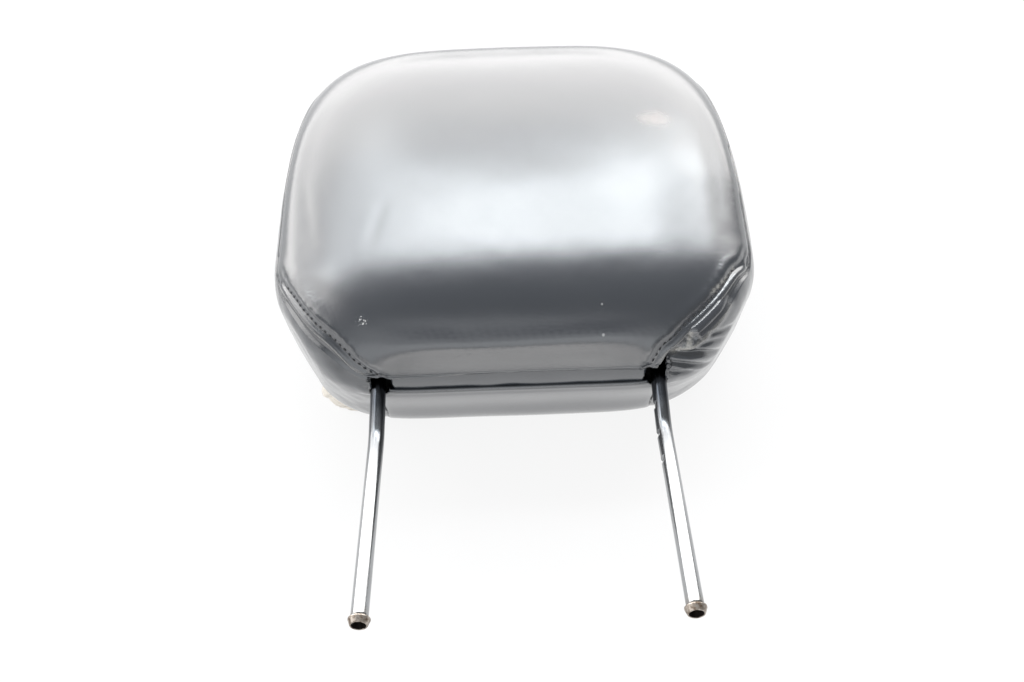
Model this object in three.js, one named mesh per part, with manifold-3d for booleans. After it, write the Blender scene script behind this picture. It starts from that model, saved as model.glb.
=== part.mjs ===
// A car headrest lying on its back: a leather cover over a moulded foam core,
// carried by one bent chrome tube whose two ends are the posts.
// Millimetres. +Z is up, away from the surface it lies on, and is the side the head rests against.
// The posts point to -Y, the top of the cushion to +Y. The origin is the middle of the flat of the back.
import * as THREE from "three";
import { mergeVertices } from "three/addons/utils/BufferGeometryUtils.js";
import Module from "manifold-3d";

const wasm = await Module();
wasm.setup();

// Cushion: its outer size, and where its widest level lies
const cushionWidth = 314;
const cushionLength = 268;
const cushionThickness = 118;
const undersideReach = 90.5; // from the widest level of the sides down to the underside
const backReach = 61; // from the widest level to the back, before the back is pressed flat
const backPress = 1.5; // how far the back is pressed flat where it rests

// How square the cushion's roundings are: 2 is an ellipse, more is squarer
const lowerFaceSquareness = 2.75;
const upperFaceSquareness = 3.05;
const upperBackSquareness = 4;
const lowerBackSquareness = 4.6;
const faceSideSquareness = 3.25;
const backSideSquareness = 5;
const undersideCornerSquareness = 11;
const topCornerSquareness = 4.5;
const lowerTaper = 0.36; // how much narrower the sides grow towards the underside

// Cover
const leather = 2; // leather with its lining
const seamGap = 0.4; // across a seam between two panels
const gap = 0.3; // between pieces that lie on each other
const sideSeamInset = 9.5; // side seam, in from the widest line
const kinkAboveUnderside = 72; // where the side seam turns off to the post
const cornerSeamBow = 2.5;
const faceSeamHeight = 92; // side seam of the face panel
const backSeamHeight = 26; // side seam of the back panel
const topSeamHeight = 32; // seam between the face panel and the back panel, at the top end
const faceHemHeight = 87; // folded lower edge of the face panel
const bandHemHeight = 72.5; // folded upper edge of the band of the back panel
const flapTuck = 8; // how far the closure flap runs on behind each hem
const flapHalfWidth = 77;
const flapSlant = 3; // the flap's ends lean in towards the band by this much
const slitWidth = 1.6; // free end of each side panel beside its post
const slitLength = 26;

// Closure strips behind the flap
const stripThickness = 1.4;
const stripLength = 138;
const hookDepth = 7; // height of the hook's open slot
const stripFlange = 5;
const hemSetback = 5.6; // how far the underside has curved back at the face panel's hem

// Frame: one tube bent into a U, with both ends bent forward below the cushion
const postDiameter = 9.5;
const tubeWall = 1.6;
const postSpacing = 172;
const postHeight = 71.5; // post centre above the surface it lies on
const postNeck = 30; // from the underside to the forward bend
const postLeg = 116.5; // from the forward bend to the tube's end
const postBend = THREE.MathUtils.degToRad(17.7);
const neckBendRadius = 45;
const crossbarDepth = 165; // crossbar centre, in from the underside
const crossbarBendRadius = 30;
const postOpening = 1.5; // leather stands off the post all round

// Height notches in the right post
const notchCount = 3;
const firstNotch = 12; // below the underside
const notchPitch = 19.5;
const notchLength = 4;
const notchDepth = 1.2;

// End collars: a conical ring with a hollow spigot pressed into the tube
const collarLength = 4;
const collarFlare = 1.15; // stands proud of the tube at its upper edge
const collarMouthWall = 0.7;
const spigotLength = 12;
const spigotWall = 0.9;
const pressClearance = 0.05;

// Support plate welded to the frame, inside the foam
const plateWidth = 150;
const plateHeight = 72;
const plateThickness = 1.5;
const plateCorner = 10;
const plateHoleRadius = 9;
const plateHoleSpacing = 84;
const weldGap = 0.3;

const formSegments = [18, 15, 8];
const tubeSides = 14;
const boreSides = 8;
const tubeSteps = 66;
const underside = -undersideReach;
const topEnd = cushionLength - undersideReach;
const widestLevel = backReach - backPress;
const far = 2 * cushionWidth; // longer than anything that is cut

// A closed solid from a three.js geometry: its vertices are shared and its thin leftovers dropped.
function solid(geometry) {
  const bare = geometry.clone();
  bare.deleteAttribute("normal");
  bare.deleteAttribute("uv");
  const merged = mergeVertices(bare, 1e-3);
  const index = merged.index.array;
  const corners = [];
  for (let i = 0; i < index.length; i += 3) {
    const [a, b, c] = [index[i], index[i + 1], index[i + 2]];
    if (a !== b && b !== c && c !== a) corners.push(a, b, c);
  }
  return new wasm.Manifold(
    new wasm.Mesh({
      numProp: 3,
      vertProperties: new Float32Array(merged.attributes.position.array),
      triVerts: new Uint32Array(corners),
    }),
  );
}

// The geometry of a cut solid's main body, without the slivers that a cut leaves at a corner
function geometryOf(made) {
  const bodies = made.decompose();
  const main = bodies.reduce((a, b) => (b.volume() > a.volume() ? b : a));
  const mesh = main.getMesh();
  const position = new THREE.BufferAttribute(new Float32Array(mesh.vertProperties), 3);
  const geometry = new THREE.BufferGeometry();
  geometry.setAttribute("position", position);
  geometry.setIndex(new THREE.BufferAttribute(new Uint32Array(mesh.triVerts), 1));
  geometry.computeVertexNormals();
  return geometry;
}

// A block given by its lowest and highest corners
function block(low, high) {
  const size = high.map((value, i) => value - low[i]);
  const middle = high.map((value, i) => (value + low[i]) / 2);
  return solid(new THREE.BoxGeometry(...size).translate(...middle));
}

// The cushion's outer form, taken in by inset: a block whose points are pushed out from its middle
// until the width term and the side-profile term together reach the surface.
function cushionForm(inset) {
  const halfWidth = cushionWidth / 2 - inset;
  const frontReach = cushionThickness + backPress - backReach;
  const spread = (t) => 0.55 * Math.sin((t * Math.PI) / 2) + 0.45 * t;
  const geometry = new THREE.BoxGeometry(2, 2, 2, ...formSegments);
  const position = geometry.attributes.position;
  for (let i = 0; i < position.count; i++) {
    const across = spread(position.getX(i));
    const along = spread(position.getY(i));
    const up = spread(position.getZ(i));
    const reachY = (along < 0 ? undersideReach : topEnd) - inset;
    const reachZ = (up > 0 ? frontReach : backReach) - inset;
    const faceSquareness = along < 0 ? lowerFaceSquareness : upperFaceSquareness;
    const rearSquareness = along < 0 ? lowerBackSquareness : upperBackSquareness;
    const n = up > 0 ? faceSquareness : rearSquareness;
    const profile = (Math.abs(along) ** n + Math.abs(up) ** n) ** (1 / n);
    const total = across ** 2 + along ** 2 + up ** 2;
    const endSquareness = along < 0 ? undersideCornerSquareness : topCornerSquareness;
    const backShare = up < 0 ? up ** 2 / total : 0;
    const p =
      faceSideSquareness +
      (endSquareness - faceSideSquareness) * (along ** 2 / total) +
      (backSideSquareness - faceSideSquareness) * backShare;
    const lowness = along < 0 ? along ** 2 / (across ** 2 + along ** 2) : 0;
    const width = Math.abs(across) / (1 - lowerTaper * lowness);
    const gauge = (width ** p + profile ** p) ** (1 / p);
    const z = widestLevel + (up * reachZ) / gauge;
    position.setXYZ(
      i,
      (across * halfWidth) / gauge,
      (along * reachY) / gauge,
      Math.max(z, inset),
    );
  }
  return solid(geometry);
}

// Plan outline of the centre panels, up to the two side seams and the two slanting corner seams
function centreOutline(widen) {
  const seamX = cushionWidth / 2 - sideSeamInset + widen;
  const postX = postSpacing / 2 + widen;
  const kinkY = underside + kinkAboveUnderside;
  const shape = new THREE.Shape();
  const side = (sign) => {
    const point = (x, y) => new THREE.Vector2(sign * x, y);
    const low = point(postX, underside - leather);
    const kink = point(seamX, kinkY);
    const middle = low.clone().lerp(kink, 0.5).add(point(cornerSeamBow, -cornerSeamBow));
    const corner = new THREE.QuadraticBezierCurve(low, middle, kink);
    const upper = new THREE.CubicBezierCurve(
      kink,
      point(seamX + 3.5, kinkY + 68),
      point(seamX + 0.5, topEnd - 72),
      point(seamX - 27.5, topEnd - 35),
    );
    const over = point(seamX - 33, topEnd + 20);
    const below = point(postX, underside - 20);
    return [below, ...corner.getPoints(5), ...upper.getPoints(9).slice(1), over];
  };
  shape.setFromPoints([...side(1), ...side(-1).reverse()]);
  return shape;
}

// The outline as a prism whose walls lean outwards with height (lean 1) or inwards (lean -1), so that
// they cross the rounded sides squarely. They stand upright at the underside and at the top end.
function centrePrism(widen, level, lean) {
  const geometry = new THREE.ExtrudeGeometry(centreOutline(widen), {
    depth: 1.5 * cushionThickness,
    steps: 12,
    bevelEnabled: false,
  }).translate(0, 0, -cushionThickness / 4);
  const position = geometry.attributes.position;
  for (let i = 0; i < position.count; i++) {
    const y = position.getY(i);
    const fromUnderside = THREE.MathUtils.clamp((y - underside) / kinkAboveUnderside, 0, 1);
    const fromTop = THREE.MathUtils.clamp((topEnd - y) / kinkAboveUnderside, 0, 1);
    const shift = lean * (position.getZ(i) - level) * fromUnderside * fromTop;
    position.setX(i, position.getX(i) + Math.sign(position.getX(i)) * shift);
  }
  return solid(geometry);
}

const facePrism = (widen) => centrePrism(widen, faceSeamHeight, 1);
const backPrism = (widen) => centrePrism(widen, backSeamHeight, -1);

// A path of straight runs joined by round bends
function bentPath(corners, radii) {
  const path = new THREE.CurvePath();
  let from = corners[0];
  for (let i = 1; i < corners.length - 1; i++) {
    const back = corners[i - 1].clone().sub(corners[i]).normalize();
    const on = corners[i + 1].clone().sub(corners[i]).normalize();
    const turn = Math.PI - back.angleTo(on);
    const radius = radii[i - 1];
    const setback = radius * Math.tan(turn / 2);
    const handle = (4 / 3) * Math.tan(turn / 4) * radius;
    const start = corners[i].clone().addScaledVector(back, setback);
    const end = corners[i].clone().addScaledVector(on, setback);
    path.add(new THREE.LineCurve3(from, start));
    path.add(
      new THREE.CubicBezierCurve3(
        start,
        start.clone().addScaledVector(back, -handle),
        end.clone().addScaledVector(on, -handle),
        end,
      ),
    );
    from = end;
  }
  path.add(new THREE.LineCurve3(from, corners[corners.length - 1]));
  return path;
}

// The frame's centre line, from the left post's end to the right post's end
function framePath(extra) {
  const bendY = underside - postNeck;
  const leg = postLeg + extra;
  const endY = bendY - leg * Math.cos(postBend);
  const endZ = postHeight + leg * Math.sin(postBend);
  const x = postSpacing / 2;
  const crossY = underside + crossbarDepth;
  const corners = [
    new THREE.Vector3(-x, endY, endZ),
    new THREE.Vector3(-x, bendY, postHeight),
    new THREE.Vector3(-x, crossY, postHeight),
    new THREE.Vector3(x, crossY, postHeight),
    new THREE.Vector3(x, bendY, postHeight),
    new THREE.Vector3(x, endY, endZ),
  ];
  return bentPath(corners, [
    neckBendRadius,
    crossbarBendRadius,
    crossbarBendRadius,
    neckBendRadius,
  ]);
}

function rod(path, radius, sides) {
  const section = new THREE.Shape();
  const points = [];
  for (let i = 0; i < sides; i++) {
    const angle = (2 * Math.PI * i) / sides;
    points.push(new THREE.Vector2(radius * Math.cos(angle), radius * Math.sin(angle)));
  }
  section.setFromPoints(points);
  return solid(
    new THREE.ExtrudeGeometry(section, { steps: tubeSteps, extrudePath: path }),
  );
}

// A height notch is a shallow step cut across the inner side of the right post.
function notch(path, fromUnderside) {
  const length = path.getLength();
  const fromEnd = postLeg + postNeck - fromUnderside;
  const share = 1 - fromEnd / length;
  const tangent = path.getTangentAt(share);
  const place = path.getPointAt(share);
  const cutter = new THREE.BoxGeometry(2 * notchDepth, notchLength, 2 * postDiameter);
  cutter.rotateX(Math.atan2(-tangent.z, -tangent.y));
  return solid(cutter.translate(place.x - postDiameter / 2, place.y, place.z));
}

function makePostFrame() {
  const path = framePath(0);
  let tube = rod(path, postDiameter / 2, tubeSides);
  tube = tube.subtract(rod(framePath(1), postDiameter / 2 - tubeWall, boreSides));
  for (let i = 0; i < notchCount; i++) {
    tube = tube.subtract(notch(path, firstNotch + i * notchPitch));
  }
  return tube;
}

// The collar turned about its own axis: the spigot goes up into the tube, the mouth opens down.
function makeCollarGeometry() {
  const bore = (postDiameter / 2 - tubeWall) * Math.cos(Math.PI / boreSides) - pressClearance;
  const shoulder = postDiameter / 2 + collarFlare;
  const mouth = postDiameter / 2;
  const profile = [
    [bore - spigotWall, spigotLength],
    [bore - spigotWall, -collarLength / 2],
    [mouth - collarMouthWall, -collarLength],
    [mouth, -collarLength],
    [shoulder, -1],
    [shoulder, -gap],
    [bore, -gap],
    [bore, spigotLength],
    [bore - spigotWall, spigotLength],
  ].map(([r, h]) => new THREE.Vector2(r, h));
  return new THREE.LatheGeometry(profile, 24);
}

// Stamped plate with two holes that the foam grows through
function plateShape(grow) {
  const half = plateWidth / 2 + grow;
  const top = plateHeight / 2 + grow;
  const r = plateCorner;
  const shape = new THREE.Shape();
  shape.moveTo(-half + r, -top);
  shape.lineTo(half - r, -top);
  shape.absarc(half - r, -top + r, r, -Math.PI / 2, 0);
  shape.lineTo(half, top - r);
  shape.absarc(half - r, top - r, r, 0, Math.PI / 2);
  shape.lineTo(-half + r, top);
  shape.absarc(-half + r, top - r, r, Math.PI / 2, Math.PI);
  shape.lineTo(-half, -top + r);
  shape.absarc(-half + r, -top + r, r, Math.PI, 1.5 * Math.PI);
  for (const sign of [-1, 1]) {
    const hole = new THREE.Path();
    hole.absarc((sign * plateHoleSpacing) / 2, 0, plateHoleRadius - grow, 0, 2 * Math.PI, true);
    shape.holes.push(hole);
  }
  return shape;
}

function plateSolid(grow) {
  const geometry = new THREE.ExtrudeGeometry(plateShape(grow), {
    depth: plateThickness + 2 * grow,
    bevelEnabled: false,
    curveSegments: 6,
  });
  const topFace = postHeight - postDiameter / 2 - weldGap;
  const middleY = underside + crossbarDepth + postDiameter / 2 - plateHeight / 2;
  return solid(geometry.translate(0, middleY, topFace - plateThickness - grow));
}

// Sections of the two hooked closure strips, as depth behind the flap against height
function stripSections() {
  const t = stripThickness;
  const g = gap;
  const floor = (faceHemHeight + bandHemHeight) / 2 - hookDepth;
  const front = [
    [0, floor],
    [3 * t + 2 * g, floor],
    [3 * t + 2 * g, floor + hookDepth],
    [2 * t + 2 * g, floor + hookDepth],
    [2 * t + 2 * g, floor + t],
    [t, floor + t],
    [t, faceHemHeight - 1],
    [0, faceHemHeight - 1],
  ];
  const foot = floor - 2 * hookDepth;
  const bridge = floor + hookDepth + 3;
  const rear = [
    [0, foot],
    [t, foot],
    [t, foot + stripFlange],
    [4 * t + 3 * g, foot + stripFlange],
    [4 * t + 3 * g, bridge + t],
    [t + g, bridge + t],
    [t + g, floor + t + g],
    [2 * t + g, floor + t + g],
    [2 * t + g, bridge],
    [3 * t + 3 * g, bridge],
    [3 * t + 3 * g, foot + stripFlange + t],
    [0, foot + stripFlange + t],
  ];
  return { front, rear, foot, bridge: bridge + t, depth: 4 * t + 3 * g };
}

// Depth of the strips' sewn faces behind the underside: clear of the flap at the face hem
const stripDepth = 2 * leather + 2 * gap + hemSetback;

function strip(section) {
  const shape = new THREE.Shape(section.map(([depth, z]) => new THREE.Vector2(depth, z)));
  const geometry = new THREE.ExtrudeGeometry(shape, { depth: stripLength, bevelEnabled: false });
  // the section's two axes become +Y and +Z, and its length runs along X
  geometry.applyMatrix4(new THREE.Matrix4().makeBasis(
    new THREE.Vector3(0, 1, 0),
    new THREE.Vector3(0, 0, 1),
    new THREE.Vector3(1, 0, 0),
  ));
  return solid(geometry.translate(-stripLength / 2, underside + stripDepth, 0));
}

// The strip of leather that closes the underside between the posts, with slanted ends
function flapPrism(grow) {
  const low = bandHemHeight - flapTuck - grow;
  const high = faceHemHeight + flapTuck + grow;
  const half = flapHalfWidth + grow;
  const slant = (flapSlant * (high - low)) / (faceHemHeight - bandHemHeight) / 2;
  const shape = new THREE.Shape([
    new THREE.Vector2(-half + slant, low),
    new THREE.Vector2(half - slant, low),
    new THREE.Vector2(half, high),
    new THREE.Vector2(-half, high),
  ]);
  const geometry = new THREE.ExtrudeGeometry(shape, { depth: undersideReach, bevelEnabled: false });
  geometry.rotateX(Math.PI / 2);
  return solid(geometry.translate(0, underside / 2, 0));
}

// Room round each post where it leaves the cover
function postOpenings(radius, depth) {
  const cylinder = new THREE.CylinderGeometry(radius, radius, 2 * depth, 20);
  const at = (x) => solid(cylinder.clone().translate(x, underside, postHeight));
  return at(-postSpacing / 2).add(at(postSpacing / 2));
}

const outer = cushionForm(0);
const lining = cushionForm(leather);
const foamForm = cushionForm(leather + gap);
const behindFlap = cushionForm(2 * leather + 2 * gap);
const shell = outer.subtract(lining).subtract(postOpenings(postDiameter / 2 + postOpening, 14));

// Two regions, in front of and behind the seam across the top end and the hems on the underside
function regions(lowHem, highHem, topGap) {
  const lower = (low, high) => block([-far, -far, low], [far, 0, high]);
  const upper = (low, high) => block([-far, 0, low], [far, far, high]);
  return {
    face: lower(highHem, far).add(upper(topSeamHeight + topGap, far)),
    back: lower(-far, lowHem).add(upper(-far, topSeamHeight - topGap)),
  };
}

const panels = regions(bandHemHeight, faceHemHeight, seamGap / 2);
const facePanel = shell.intersect(facePrism(-seamGap / 2)).intersect(panels.face);
const backPanel = shell.intersect(backPrism(-seamGap / 2)).intersect(panels.back);

// Beside each post the side panel ends free, a slit away from the band.
const slitZone = block(
  [-far, -far, postHeight - slitLength],
  [far, underside + kinkAboveUnderside / 4, postHeight],
);
const between = regions(bandHemHeight, bandHemHeight, 0);
const sides = shell
  .subtract(facePrism(seamGap / 2).intersect(between.face))
  .subtract(backPrism(seamGap / 2).intersect(between.back))
  .subtract(backPrism(slitWidth).intersect(slitZone));

const flap = foamForm
  .subtract(cushionForm(2 * leather + gap))
  .intersect(flapPrism(0));
const flapRoom = outer.subtract(behindFlap).intersect(flapPrism(gap));

const sections = stripSections();
const closureGroove = block(
  [-stripLength / 2 - 2, -far, sections.foot - 1],
  [stripLength / 2 + 2, underside + stripDepth + sections.depth + 1, faceHemHeight + 1],
).intersect(foamForm);

const foam = foamForm
  .subtract(rod(framePath(0), postDiameter / 2 + gap, tubeSides))
  .subtract(plateSolid(gap))
  .subtract(flapRoom)
  .subtract(closureGroove);

const leatherBlack = { color: 0x232427, roughness: 0.38, metalness: 0 };
const plasticBlack = { color: 0x17181a, roughness: 0.55, metalness: 0 };
const chrome = { color: 0xd3d6d8, roughness: 0.12, metalness: 1 };
const wornSteel = { color: 0x8d8378, roughness: 0.4, metalness: 1 };
const sheetSteel = { color: 0x5f6266, roughness: 0.5, metalness: 1 };
const foamCream = { color: 0xd8caa0, roughness: 0.95, metalness: 0 };

const headrest = new THREE.Group();

function place(name, geometry, finish, parent = headrest) {
  const mesh = new THREE.Mesh(geometry, new THREE.MeshStandardMaterial(finish));
  mesh.name = name;
  parent.add(mesh);
  return mesh;
}

place("front_panel", geometryOf(facePanel), leatherBlack);
place("back_panel", geometryOf(backPanel), leatherBlack);
for (const [name, sign] of [["left_gusset", -1], ["right_gusset", 1]]) {
  const half = block([sign < 0 ? -far : 0, -far, -far], [sign < 0 ? 0 : far, far, far]);
  place(name, geometryOf(sides.intersect(half)), leatherBlack);
}
place("closure_flap", geometryOf(flap), leatherBlack);
place("front_retainer", geometryOf(strip(sections.front)), plasticBlack);
place("rear_retainer", geometryOf(strip(sections.rear)), plasticBlack);
place("foam_core", geometryOf(foam), foamCream);
place("support_plate", geometryOf(plateSolid(0)), sheetSteel);
place("post_frame", geometryOf(makePostFrame()), chrome);

// Each collar sits in a group that stands at its post's end and leans with it.
for (const [name, sign] of [["left_post_collar", -1], ["right_post_collar", 1]]) {
  const end = new THREE.Group();
  end.position.set(
    (sign * postSpacing) / 2,
    underside - postNeck - postLeg * Math.cos(postBend),
    postHeight + postLeg * Math.sin(postBend),
  );
  end.rotation.x = -postBend;
  headrest.add(end);
  place(name, makeCollarGeometry(), wornSteel, end);
}

export default headrest;
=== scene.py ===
import math

import bpy
import numpy as np
from mathutils import Matrix, Vector
from mathutils.kdtree import KDTree


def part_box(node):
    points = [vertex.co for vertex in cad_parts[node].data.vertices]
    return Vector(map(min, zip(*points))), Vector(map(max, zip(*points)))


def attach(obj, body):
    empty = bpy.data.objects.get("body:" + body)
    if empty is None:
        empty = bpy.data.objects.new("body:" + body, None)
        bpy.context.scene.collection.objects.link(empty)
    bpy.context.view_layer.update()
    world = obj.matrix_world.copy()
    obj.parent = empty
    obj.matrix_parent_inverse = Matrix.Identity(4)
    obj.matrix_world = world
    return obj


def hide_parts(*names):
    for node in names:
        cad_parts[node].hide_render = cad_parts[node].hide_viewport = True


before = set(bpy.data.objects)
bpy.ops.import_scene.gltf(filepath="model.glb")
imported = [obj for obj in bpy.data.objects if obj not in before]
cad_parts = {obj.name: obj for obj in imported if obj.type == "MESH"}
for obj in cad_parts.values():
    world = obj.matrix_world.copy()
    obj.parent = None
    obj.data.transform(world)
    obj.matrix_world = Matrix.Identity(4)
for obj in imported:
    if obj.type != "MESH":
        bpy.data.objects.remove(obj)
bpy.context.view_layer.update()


# The post frame: one chrome-plated steel tube bent into a U. Its crossbar lies in the foam and its two ends
# are the posts, bent forward below the cushion. The right post has three height notches on its inner side.
MM = 0.001
tube_low, tube_high = (np.array(corner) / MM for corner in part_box("post_frame"))
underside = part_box("back_panel")[0].y / MM
post_radius = 4.75
tube_bore = 3.15
post_x = tube_high[0] - post_radius
post_height = 71.5
neck_length = 30
leg_length = 116.5
leg_bend = math.radians(17.7)
neck_bend_radius = 45
crossbar_bend_radius = 30
notch_length = 4
notch_depth = 1.2
notch_wall = 0.15
notch_slope = 0.9
notches_below_underside = (12, 31.5, 51)
brown_length = 14
shade_start, shade_end = 8, 62


def run_lengths(line):
    """How far along a line each of its points lies."""
    return np.r_[0, np.cumsum(np.linalg.norm(np.diff(line, axis=0), axis=1))]


def rounded_path(corners, radii, step=1.0):
    """Points along straight runs joined by round bends, with a point every step millimetres."""
    corners = [np.array(corner, float) for corner in corners]
    points = [corners[0]]
    for before, at, after, radius in zip(corners, corners[1:], corners[2:], radii):
        back = (before - at) / np.linalg.norm(before - at)
        on = (after - at) / np.linalg.norm(after - at)
        turn = math.pi - math.acos(np.dot(back, on))
        setback = radius * math.tan(turn / 2)
        towards_centre = (back + on) / np.linalg.norm(back + on)
        centre = at + towards_centre * radius / math.cos(turn / 2)
        start = at + back * setback
        arm, heading = start - centre, -back
        for angle in np.linspace(0, turn, max(3, int(radius * turn / step))):
            points.append(centre + arm * math.cos(angle) + heading * radius * math.sin(angle))
    points.append(corners[-1])
    dense = np.array(points)
    lengths = run_lengths(dense)
    stations = np.linspace(0, lengths[-1], int(lengths[-1] / step) + 1)
    return dense, lengths, stations


def along(dense, lengths, stations):
    """Points and headings of a path at distances from its start."""
    def at(distance):
        return np.stack([np.interp(distance, lengths, dense[:, k]) for k in range(3)], axis=1)

    half_step = 0.6
    ahead = at(np.minimum(stations + half_step, lengths[-1]))
    behind = at(np.maximum(stations - half_step, 0))
    heading = ahead - behind
    return at(stations), heading / np.linalg.norm(heading, axis=1)[:, None]


def grid_faces(rows, columns, closed=False):
    """Quads of a grid of points, its columns closed into rings where the surface goes all the way round."""
    across = columns if closed else columns - 1
    i, j = np.meshgrid(np.arange(rows - 1), np.arange(across), indexing="ij")
    right = (j + 1) % columns
    corners = [i * columns + j, i * columns + right, (i + 1) * columns + right, (i + 1) * columns + j]
    return np.stack(corners, axis=-1).reshape(-1, 4)


def make_piece(name, points, faces, material, smooth=True):
    """A mesh object from points in millimetres, with one material."""
    mesh = bpy.data.meshes.new(name)
    mesh.from_pydata((np.asarray(points) * MM).tolist(), [], np.asarray(faces).tolist())
    mesh.polygons.foreach_set("use_smooth", [smooth] * len(mesh.polygons))
    mesh.materials.append(material)
    mesh.update()
    piece = bpy.data.objects.new(name, mesh)
    bpy.context.scene.collection.objects.link(piece)
    return piece


def new_material(name, colour, metallic, roughness):
    material = bpy.data.materials.new(name)
    material.use_nodes = True
    shader = material.node_tree.nodes["Principled BSDF"]
    shader.inputs["Base Color"].default_value = (*colour, 1)
    shader.inputs["Metallic"].default_value = metallic
    shader.inputs["Roughness"].default_value = roughness
    return material, material.node_tree, shader


def add_node(tree, kind, inputs=None, **settings):
    """A shader node with its settings made and its inputs filled with values or linked from sockets."""
    node = tree.nodes.new(kind)
    for key, value in settings.items():
        setattr(node, key, value)
    for key, value in (inputs or {}).items():
        if isinstance(value, bpy.types.NodeSocket):
            tree.links.new(value, node.inputs[key])
        else:
            node.inputs[key].default_value = value
    return node


def object_place(tree, stretch=(1, 1, 1)):
    """Object coordinates in metres, stretched along each axis."""
    place = add_node(tree, "ShaderNodeTexCoord").outputs["Object"]
    return add_node(tree, "ShaderNodeMapping", {"Vector": place, "Scale": stretch}).outputs[0]


def noise(tree, vector, scale, detail=3.0, roughness=0.5):
    inputs = {"Vector": vector, "Scale": scale, "Detail": detail, "Roughness": roughness}
    return add_node(tree, "ShaderNodeTexNoise", inputs).outputs["Fac"]


def remap(tree, value, from_low, from_high, to_low, to_high):
    span = {"From Min": from_low, "From Max": from_high, "To Min": to_low, "To Max": to_high}
    return add_node(tree, "ShaderNodeMapRange", {"Value": value, **span}).outputs["Result"]


def maths(tree, operation, *values):
    return add_node(tree, "ShaderNodeMath", dict(enumerate(values)), operation=operation).outputs[0]


def blend_colours(tree, factor, first, second):
    node = add_node(tree, "ShaderNodeMix", data_type="RGBA")
    sockets = (node.inputs["Factor"], node.inputs[6], node.inputs[7])
    for socket, value in zip(sockets, (factor, first, second)):
        if isinstance(value, bpy.types.NodeSocket):
            tree.links.new(value, socket)
        else:
            socket.default_value = value if isinstance(value, float) else (*value, 1)
    return node.outputs[2]


def bump(tree, height, distance, strength=1.0, normal=None):
    inputs = {"Height": height, "Distance": distance, "Strength": strength}
    if normal is not None:
        inputs["Normal"] = normal
    return add_node(tree, "ShaderNodeBump", inputs).outputs["Normal"]


def chrome_finish():
    """Bright plate with drawn lines and smudges, brown near the cut ends, and painted shade close under the
    cushion.
    """
    material, tree, shader = new_material("post_chrome", (0.74, 0.75, 0.76), 1, 0.12)
    lines = noise(tree, object_place(tree, (900, 12, 900)), 1.0, 2)
    smudges = noise(tree, object_place(tree), 60, 4)
    place = add_node(tree, "ShaderNodeSeparateXYZ", {"Vector": object_place(tree)}).outputs["Y"]
    near_end = remap(tree, place, (tube_low[1] + brown_length) * MM, tube_low[1] * MM, 0, 1)
    worn = remap(tree, maths(tree, "MULTIPLY", near_end, smudges), 0.25, 0.7, 0, 0.75)
    smudged = remap(tree, smudges, 0.45, 0.8, 0, 0.35)
    colour = blend_colours(tree, smudged, (0.42, 0.43, 0.44), (0.30, 0.30, 0.30))
    colour = blend_colours(tree, worn, colour, (0.24, 0.20, 0.16))
    # painted shade: the base colour darkens towards the root, standing for the cushion's dark underside
    # mirrored in the chrome
    painted_root_shade = remap(tree, place, (underside - shade_end) * MM, (underside - shade_start) * MM, 0, 0.95)
    colour = blend_colours(tree, painted_root_shade, colour, (0.045, 0.05, 0.06))
    tree.links.new(colour, shader.inputs["Base Color"])
    rough = remap(tree, smudges, 0.35, 0.8, 0.15, 0.28)
    tree.links.new(rough, shader.inputs["Roughness"])
    tree.links.new(bump(tree, lines, 0.00002, 0.5), shader.inputs["Normal"])
    return material


def make_post_frame():
    """The hollow tube, with rings close together at the edges of each notch."""
    bend_y = underside - neck_length
    end_y = bend_y - leg_length * math.cos(leg_bend)
    end_z = post_height + leg_length * math.sin(leg_bend)
    cross_y = tube_high[1] - post_radius
    half = [(post_x, cross_y, post_height), (post_x, bend_y, post_height), (post_x, end_y, end_z)]
    corners = [(-x, y, z) for x, y, z in reversed(half)] + half
    radii = [neck_bend_radius, crossbar_bend_radius, crossbar_bend_radius, neck_bend_radius]
    dense, lengths, stations = rounded_path(corners, radii, 1.6)
    starts = [lengths[-1] - (leg_length + neck_length - below) for below in notches_below_underside]
    offsets = (-notch_wall, 0, notch_length, notch_length + notch_slope)
    edges = [start + offset for start in starts for offset in offsets]
    stations = np.unique(np.r_[stations, edges])
    centres, headings = along(dense, lengths, stations)
    sides = 48
    angles = np.linspace(0, 2 * math.pi, sides, endpoint=False)
    upward = np.array([0, 0, 1.0])
    out = np.cross(headings, upward)
    out /= np.linalg.norm(out, axis=1)[:, None]
    over = np.cross(out, headings)

    def rings(radius, cut):
        sideways = np.tile(radius * np.cos(angles), (len(stations), 1))
        if cut:
            for start in starts:
                inside = (stations >= start - 0.01) & (stations <= start + notch_length + 0.01)
                # out points to -X on the right post, which is its inner side
                sideways[inside] = np.minimum(sideways[inside], radius - notch_depth)
        rise = radius * np.sin(angles)
        return (
            centres[:, None]
            + out[:, None] * sideways[:, :, None]
            + over[:, None] * rise[None, :, None]
        ).reshape(-1, 3)

    outer, inner = rings(post_radius, True), rings(tube_bore, False)
    skin = grid_faces(len(stations), sides, closed=True)
    lining = skin[:, ::-1] + len(outer)
    last = (len(stations) - 1) * sides
    ring = np.arange(sides)
    after = (ring + 1) % sides
    first_rim = np.stack([ring, ring + len(outer), after + len(outer), after], axis=1)
    last_rim = first_rim[:, [0, 3, 2, 1]] + last
    faces = np.concatenate([skin, lining, first_rim, last_rim])
    return make_piece("post_tube", np.concatenate([outer, inner]), faces, chrome_finish())


post_tube = make_post_frame()
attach(post_tube, "root")
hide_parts("post_frame")


# The end collars: turned steel rings, dull and brownish, each with a hollow spigot pressed into the end of
# its post. The ring is widest where it meets the tube and tapers to its open mouth.
collar_length = 4
collar_flare = 1.15
mouth_wall = 0.7
spigot_length = 12
spigot_wall = 0.9
spigot_play = 0.05


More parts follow.
